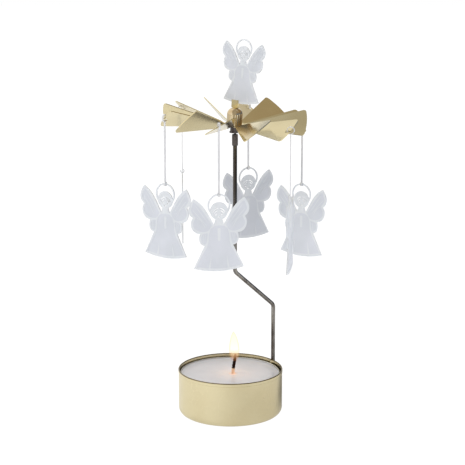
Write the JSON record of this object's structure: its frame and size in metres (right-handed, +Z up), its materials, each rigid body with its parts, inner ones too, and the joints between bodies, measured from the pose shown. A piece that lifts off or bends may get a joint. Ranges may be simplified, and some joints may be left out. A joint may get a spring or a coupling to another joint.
{
  "type": "angel chime carousel",
  "caption": "Tealight cup with a bent wire spindle and a turning bladed rotor, from which flat angels hang on thin strips, with another angel on top.",
  "frame": {"origin": "centre of the cup's underside", "axes": "+Z up along the cup's axis, -Y towards the viewer, +X to the viewer's right"},
  "size_m": [0.0711, 0.0621, 0.1452],
  "materials": {
    "cup_brass": "polished, champagne gold",
    "rotor_brass": "polished, champagne gold",
    "bearing_brass": "polished",
    "rod_steel": "drawn bright wire",
    "angel_metal": "satin, etched",
    "hanger_metal": "satin",
    "tealight_aluminium": "rolled bright",
    "wax": "smooth, waxy",
    "wick_cotton": "charred cotton",
    "sustainer_steel": "tinned"
  },
  "bodies": {
    "tray": {"candle_tray": "cup_brass"},
    "tealight": {"tealight_shell": "tealight_aluminium", "tealight_wax": "wax", "wick_sustainer": "sustainer_steel", "wick": "wick_cotton"},
    "spindle": {"spindle_rod": "rod_steel", "rod_ferrule": "rod_steel"},
    "rotor": {"propeller": "rotor_brass", "bearing_tube": "bearing_brass", "bearing_cap": "bearing_brass", "top_clip": "bearing_brass", "top_angel": "angel_metal"},
    "hanger_body_1": {"hanger_1": "hanger_metal"},
    "angel_body_1": {"angel_1": "angel_metal"},
    "hanger_body_2": {"hanger_2": "hanger_metal"},
    "angel_body_2": {"angel_2": "angel_metal"},
    "hanger_body_3": {"hanger_3": "hanger_metal"},
    "angel_body_3": {"angel_3": "angel_metal"},
    "hanger_body_4": {"hanger_4": "hanger_metal"},
    "angel_body_4": {"angel_4": "angel_metal"},
    "hanger_body_5": {"hanger_5": "hanger_metal"},
    "angel_body_5": {"angel_5": "angel_metal"},
    "hanger_body_6": {"hanger_6": "hanger_metal"},
    "angel_body_6": {"angel_6": "angel_metal"}
  },
  "joints": [
    {"name": "tealight_lift", "type": "slide", "parent": "tray", "child": "tealight", "axis": [0, 0, 1], "range_m": [0, 0.02]},
    {"name": "spindle_lift", "type": "slide", "parent": "tray", "child": "spindle", "axis": [0, 0, 1], "range_m": [0, 0.015]},
    {"name": "rotor_spin", "type": "hinge", "parent": "spindle", "child": "rotor", "pos_m": [0.00175, 0.00125, 0.11825], "axis": [0, 0, 1], "continuous": true},
    {"name": "hanger_1_swing", "type": "hinge", "parent": "rotor", "child": "hanger_body_1", "pos_m": [0.0222, -0.01687, 0.11332], "axis": [-0.1547, -0.988, 0], "range_deg": [-12, 20]},
    {"name": "angel_1_swing", "type": "hinge", "parent": "hanger_body_1", "child": "angel_body_1", "pos_m": [0.0222, -0.01687, 0.08858], "axis": [-0.1547, -0.988, 0], "range_deg": [-15, 15]},
    {"name": "hanger_2_swing", "type": "hinge", "parent": "rotor", "child": "hanger_body_2", "pos_m": [0.02751, 0.01022, 0.11342], "axis": [0.83, -0.5577, 0], "range_deg": [-12, 20]},
    {"name": "angel_2_swing", "type": "hinge", "parent": "hanger_body_2", "child": "angel_body_2", "pos_m": [0.02751, 0.01022, 0.08868], "axis": [0.83, -0.5577, 0], "range_deg": [-15, 15]},
    {"name": "hanger_3_swing", "type": "hinge", "parent": "rotor", "child": "hanger_body_3", "pos_m": [0.00687, 0.02799, 0.11682], "axis": [0.8862, 0.4633, 0], "range_deg": [-12, 20]},
    {"name": "angel_3_swing", "type": "hinge", "parent": "hanger_body_3", "child": "angel_body_3", "pos_m": [0.00687, 0.02799, 0.09208], "axis": [0.8862, 0.4633, 0], "range_deg": [-15, 15]},
    {"name": "hanger_4_swing", "type": "hinge", "parent": "rotor", "child": "hanger_body_4", "pos_m": [-0.01903, 0.01915, 0.11702], "axis": [-0.0454, 0.999, 0], "range_deg": [-12, 20]},
    {"name": "angel_4_swing", "type": "hinge", "parent": "hanger_body_4", "child": "angel_body_4", "pos_m": [-0.01903, 0.01915, 0.09228], "axis": [-0.0454, 0.999, 0], "range_deg": [-15, 15]},
    {"name": "hanger_5_swing", "type": "hinge", "parent": "rotor", "child": "hanger_body_5", "pos_m": [-0.02432, -0.00764, 0.1166], "axis": [-0.8536, 0.521, 0], "range_deg": [-12, 20]},
    {"name": "angel_5_swing", "type": "hinge", "parent": "hanger_body_5", "child": "angel_body_5", "pos_m": [-0.02432, -0.00764, 0.09186], "axis": [-0.8536, 0.521, 0], "range_deg": [-15, 15]},
    {"name": "hanger_6_swing", "type": "hinge", "parent": "rotor", "child": "hanger_body_6", "pos_m": [-0.00391, -0.02566, 0.11589], "axis": [-0.9677, -0.2521, 0], "range_deg": [-12, 20]},
    {"name": "angel_6_swing", "type": "hinge", "parent": "hanger_body_6", "child": "angel_body_6", "pos_m": [-0.00391, -0.02566, 0.09115], "axis": [-0.9677, -0.2521, 0], "range_deg": [-15, 15]}
  ]
}
